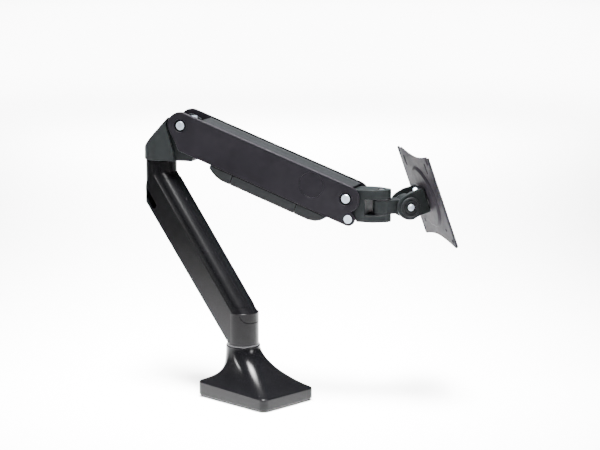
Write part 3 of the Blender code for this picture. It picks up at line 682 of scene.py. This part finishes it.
def make_pins():
    for label, a in (("lift", 0.0), ("wrist", UPPER_LENGTH)):
        profile = [(0, -21.2), (PIN_HEAD_R, -21.2), (PIN_HEAD_R, -19.3), (PIN_R, -19.3)]
        profile += [(PIN_R, 18.6), (2.5, 18.6), (2.5, 20.8), (0, 20.8)]
        body = turned("pin", profile, (a, 0, 0), "y", 0.55, 48)
        cut(body, socket(2.3, -25, -20.0, (a, 0, 0), "y"))
        place(body, "upper", "upper_arm", "zinc_plated_steel", f"{label}_pin")
        profile = [(2.8, 19.3), (PIN_HEAD_R, 19.3), (PIN_HEAD_R, 21.2), (2.8, 21.2)]
        body = turned("nut", profile, (a, 0, 0), "y", 0.5, 48)
        place(body, "upper", "upper_arm", "zinc_plated_steel", f"{label}_pin_nut")
    for label, side in (("near", -1), ("far", 1)):
        profile = [(0, 17.7), (2.5, 17.7), (2.5, 19.0), (5.1, 19.0), (5.1, 21.2), (0, 21.2)]
        centre = (UPPER_LENGTH + 11.2, 0, -22.2)
        body = turned("stud", [(r, h * side) for r, h in profile], centre, "y", 0.5, 40)
        cut(body, socket(1.9, 20.4 * side, 22 * side, centre, "y"))
        place(body, "upper", "upper_arm", "zinc_plated_steel", f"wall_stud_{label}")
        profile = [(0, 20.1), (15.55, 20.1), (15.55, 20.95), (0, 20.95)]
        body = turned("cap", [(r, h * side) for r, h in profile], (SPRING_A, 0, SPRING_B), "y", 0.3, 64)
        place(body, "upper", "upper_arm", "satin_blue_grey_paint", f"side_cap_{label}")


# Wrist


def make_wrist():
    side = arc(0, 0, 12.2, 60, 250, 30) + [(13, -28), (52, -28), (52, 11.5), (18, 11.5)]
    body = prism("wrist", side, -EAR_HALF, EAR_HALF, 0, 0)
    plan = [(-20, EAR_HALF), (-20, -EAR_HALF), (32, -EAR_HALF)]
    plan += arc(SWIVEL_X, 0, 11.5, -52, 52, 28) + [(32, EAR_HALF)]
    meet(body, prism("t", plan, -40, 30, 0, 0, "xy"))
    cut(body, block((23, 60), (-20, 20), (-19.5, -0.1)))
    round_edges(body, 0.7, 3, 24.0)
    cut(body, prism("t", [(-20, 7), (-20, -30), (14, -30), (14, -22), (9, -4), (-4, -3)], 8.6, 12.3, 0, 0))
    cut(body, rod(PIN_R + 0.3, -25, 25, axis="y"), rod(2.8, 5.0, 25, (0, 0, LINK_DROP), "y"))
    cut(body, rod(4.3, -40, 30, (SWIVEL_X, 0, 0)))
    place(body, "wrist", "wrist", "satin_charcoal_paint", "wrist_bracket", sharp=30.0)
    profile = [(0, -27.6), (4.0, -27.6), (4.0, 11.0), (0, 11.0)]
    pin = turned("pin", profile, (SWIVEL_X, 0, 0), "z", 0.6, 40)
    place(pin, "wrist", "wrist", "steel", "swivel_pin")


# Head


def make_head():
    z = TONGUE_Z
    knuckle = [(0, z - 8.5), (11.0, z - 8.5), (11.0, z + 8.5), (0, z + 8.5)]
    body = turned("head", knuckle, (0, 0, 0), "z", 0.6, 56)
    outline = [(-9.4, z - 8.4), (9.4, z - 8.4), (9.4, z + 8.4), (-9.4, z + 8.4)]
    join(body, prism("t", outline, 0, TILT_X, 0, 0.6, "yz"))
    join(body, turned("t", [(0, -9.4), (13.0, -9.4), (13.0, 9.4), (0, 9.4)], (TILT_X, 0, z), "y", 0.6, 56))
    cut(body, rod(4.3, -30, 10), rod(4.3, -12, 12, (TILT_X, 0, z), "y"))
    place(body, "head", "head", "satin_charcoal_paint", "head_block", sharp=30.0)
    profile = [(0, -20.2), (3.1, -20.2), (3.4, -18.7), (4.0, -18.7), (4.0, 22.0), (0, 22.0)]
    bolt = turned("bolt", profile, (TILT_X, 0, z), "y", 0.3, 48)
    cut(bolt, socket(1.9, -25, -18.9, (TILT_X, 0, z), "y"))
    place(bolt, "head", "head", "zinc_plated_steel", "tilt_bolt")


def make_yoke():
    arm = arc(0, 0, 15.8, 95, 268, 32) + [(8, -14.8), (22.8, -14.8), (22.8, 15.9), (6, 17.0)]
    body = prism("yoke", arm, -16.1, 16.1, 1.0, 0.8, "xz", 4)
    cut(body, prism("t", [(-30, -30), (18.6, -30), (18.6, 30), (-30, 30)], -11.6, 11.6, 0, 1.0))
    cut(body, rod(4.3, -30, 30, axis="y"), rod(4.3, 10, 30, axis="x"))
    cut(body, rod(2.3, 10, 30, (0, 0, 12.2), "x", 24))
    place(body, "tilt", "yoke", "satin_charcoal_paint", "tilt_yoke", sharp=30.0)
    profile = [(4.3, -16.4), (12.2, -16.4), (12.2, -17.4), (11.2, -18.3), (9.6, -18.3)]
    profile += [(9.2, -17.5), (7.6, -17.5), (7.2, -18.4), (4.3, -18.4)]
    cap = turned("cap", profile, (0, 0, 0), "y", 0.25, 64)
    place(cap, "tilt", "yoke", "charcoal_plastic", "tilt_cap", sharp=40.0)


# Plate


def plate_outline():
    w, h = PLATE_HALF_W, PLATE_HALF_H
    right = [(w, -h + 2), (w, h - 1), (w - 1, h), (53.0, h), (52.6, 51.0)]
    right += arc(VESA_LARGE, 50.6, 2.6, 0, -180, 12)
    right += [(47.4, 51.0), (47.0, h - 0.5), (45.0, h)]
    top = [(44 - 2.2 * k, 52.2 + 6.0 * abs(1 - k / 20) ** 1.7) for k in range(1, 40)]
    left = [(-y, z) for y, z in right[::-1]]
    bottom = [(-50 + 2.5 * k, -51.0 - 7.2 * abs(1 - k / 20) ** 1.7) for k in range(0, 41)]
    return right + top + left + [(-w + 2, -h)] + bottom + [(w - 2, -h)]


def make_plate():
    x0, x1 = PLATE_X, PLATE_X + PLATE_THICK
    body = prism("plate", plate_outline(), x0, x1, 0.4, 0, "yz")
    for sy in (-1, 1):
        slot = arc(sy * VESA_SMALL, 47.6, 2.5, 0, 180, 14) + arc(sy * VESA_SMALL, 38.0, 2.5, 180, 360, 14)
        cut(body, prism("t", slot, 15, 40, 0, 0, "yz"))
        cut(body, bore(2.4, x0, x1, (0, sy * VESA_SMALL, -VESA_SMALL), "x", 0.3, 32))
        cut(body, bore(2.4, x0, x1, (0, sy * VESA_LARGE, -VESA_LARGE), "x", 0.3, 32))
    dish = [(0, x0 - DISH_RAISE), (36.5, x0 - DISH_RAISE), (40.0, x0 + 0.02), (40.0, x0 + 0.5), (0, x0 + 0.5)]
    join(body, turned("t", dish, (0, 0, 0), "x", 1.0, 96))
    deep = x0 - DISH_RAISE + 2.4
    hollow = [(0, deep), (34.6, deep), (38.0, x1 + 0.02), (38.0, x1 + 1), (0, x1 + 1)]
    cut(body, turned("t", hollow, (0, 0, 0), "x", 0.3, 96))
    cut(body, rod(4.3, 10, 40, axis="x"))
    place(body, "tilt", "plate", "plate_paint", "vesa_plate", sharp=30.0)


make_base()
make_lower()
make_elbow()
make_channel()
make_top_cover()
make_cable_covers()
make_pins()
make_wrist()
make_head()
make_yoke()
make_plate()

SLOTS = {part["node"]: part["material_slot"] for part in frame["record"]["subparts"]}
for name, node in NODES.items():
    node.data.materials.clear()
    node.data.materials.append(LOOKS[SLOTS[name]])


# Stage


def area_light(name, place_at, aim, size, power, spread):
    """A soft box; without an aim it hangs level, in line with the view."""
    data = bpy.data.lights.new(name, "AREA")
    data.shape = "RECTANGLE"
    data.size, data.size_y = size
    data.energy = power
    data.spread = math.radians(spread)
    obj = bpy.data.objects.new(name, data)
    bpy.context.scene.collection.objects.link(obj)
    obj.location = place_at
    obj.rotation_euler = (0, 0, math.radians(VIEW_HEADING))
    if aim:
        obj.rotation_euler = (Vector(aim) - Vector(place_at)).to_track_quat("-Z", "Y").to_euler()
    return obj


def make_stage():
    bpy.ops.mesh.primitive_plane_add(size=60, location=(0, 0, -0.0005))
    floor = bpy.context.object
    floor.name = "floor"
    look = bpy.data.materials.new("pale_floor")
    look.use_nodes = True
    shader = look.node_tree.nodes["Principled BSDF"]
    shader.inputs["Base Color"].default_value = (0.93, 0.93, 0.93, 1.0)
    shader.inputs["Roughness"].default_value = 0.9
    shader.inputs["Specular IOR Level"].default_value = 0.1
    floor.data.materials.append(look)
    world = bpy.data.worlds.new("studio")
    world.use_nodes = True
    world.node_tree.nodes["Background"].inputs["Color"].default_value = (1, 1, 1, 1)
    world.node_tree.nodes["Background"].inputs["Strength"].default_value = 0.12
    bpy.context.scene.world = world
    area_light("backdrop", (-3.5, 3.6, 3.2), None, (4.5, 5.5), 950, 60)
    area_light("overhead", (-0.7, 0.72, 2.2), None, (1.2, 3.0), 140, 34)
    area_light("front", (0.3, -0.3, 2.4), (0, 0, 0.2), (0.5, 1.2), 24, 40)
    area_light("left", (-1.3, -2.0, 0.9), (-0.05, 0, 0.2), (0.25, 1.8), 9, 30)
    area_light("right", (2.2, 0.5, 0.9), (-0.05, 0, 0.2), (0.7, 1.6), 9, 30)


def make_camera():
    data = bpy.data.cameras.new("camera")
    camera = bpy.data.objects.new("camera", data)
    bpy.context.scene.collection.objects.link(camera)
    camera.location = (1.6711, -1.6463, 0.6486)
    camera.rotation_euler = (math.radians(VIEW_PITCH), 0, math.radians(VIEW_HEADING))
    data.sensor_width = 36.0
    data.lens = 119.07
    data.clip_end = 200
    bpy.context.scene.camera = camera


make_stage()
make_camera()
